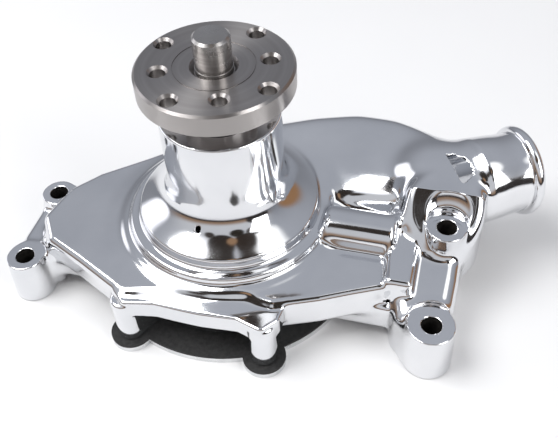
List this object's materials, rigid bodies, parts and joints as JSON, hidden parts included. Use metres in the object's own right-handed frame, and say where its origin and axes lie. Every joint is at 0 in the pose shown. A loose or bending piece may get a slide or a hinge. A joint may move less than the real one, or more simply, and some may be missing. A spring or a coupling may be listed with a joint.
{
  "type": "engine water pump",
  "caption": "Short belt-driven engine coolant pump with a plated casting, a side hose neck, a flanged drive hub on a pilot shaft and a rear cover with its gasket.",
  "frame": {"origin": "on the shaft axis at the block plane, which the rear cover's outer face lies in", "axes": "+Z along the shaft towards the drive hub, +X towards the hose neck's side, +Y completes the right-handed frame and points away from the near pair of block bolts"},
  "size_m": [0.2973, 0.1686, 0.1604],
  "materials": {
    "plated_casting": "bright mirror plating",
    "zinc_plate": "pale zinc plating",
    "gasket": "matt black",
    "screw_steel": "plated",
    "machined_steel": "bare turned",
    "ground_steel": "ground",
    "impeller_iron": "as cast",
    "slinger": "stamped",
    "bearing_steel": "ground",
    "cage_plastic": "moulded",
    "seal_rubber": "moulded",
    "brass": "pressed",
    "spring_steel": "drawn",
    "carbon": "lapped",
    "ceramic": "lapped"
  },
  "bodies": {
    "casing": {"housing": "plated_casting", "rear_cover": "zinc_plate", "cover_gasket": "gasket", "cover_screws": "screw_steel", "bearing_outer_race": "bearing_steel", "front_bearing_seal": "seal_rubber", "rear_bearing_seal": "seal_rubber", "seal_case": "brass", "seal_bellows": "seal_rubber", "seal_spring": "spring_steel"},
    "rotor": {"pump_shaft": "ground_steel", "drive_hub": "machined_steel", "impeller": "impeller_iron", "slinger": "slinger", "ceramic_seat": "ceramic", "seat_grommet": "seal_rubber"},
    "ball_set": {"bearing_balls": "bearing_steel", "ball_cage": "cage_plastic"},
    "roller_set": {"bearing_rollers": "bearing_steel", "roller_cage": "cage_plastic"},
    "seal_face": {"seal_carbon_ring": "carbon", "seal_ferrule": "brass"}
  },
  "joints": [
    {"name": "shaft_spin", "type": "hinge", "parent": "casing", "child": "rotor", "pos_m": [0, 0, 0.09], "axis": [0, 0, 1], "continuous": true},
    {"name": "ball_set_spin", "type": "hinge", "parent": "casing", "child": "ball_set", "pos_m": [0, 0, 0.102], "axis": [0, 0, 1], "continuous": true},
    {"name": "roller_set_spin", "type": "hinge", "parent": "casing", "child": "roller_set", "pos_m": [0, 0, 0.073], "axis": [0, 0, 1], "continuous": true},
    {"name": "seal_face_slide", "type": "slide", "parent": "casing", "child": "seal_face", "axis": [0, 0, 1], "range_m": [0, 0.0008], "stiffness_N_per_m": 3000, "springref_m": -0.005, "deforming": ["seal_spring", "seal_bellows"]}
  ],
  "couplings": [
    {"joint": "ball_set_spin", "follows": "shaft_spin", "ratio": 0.3521},
    {"joint": "roller_set_spin", "follows": "shaft_spin", "ratio": 0.4033}
  ]
}
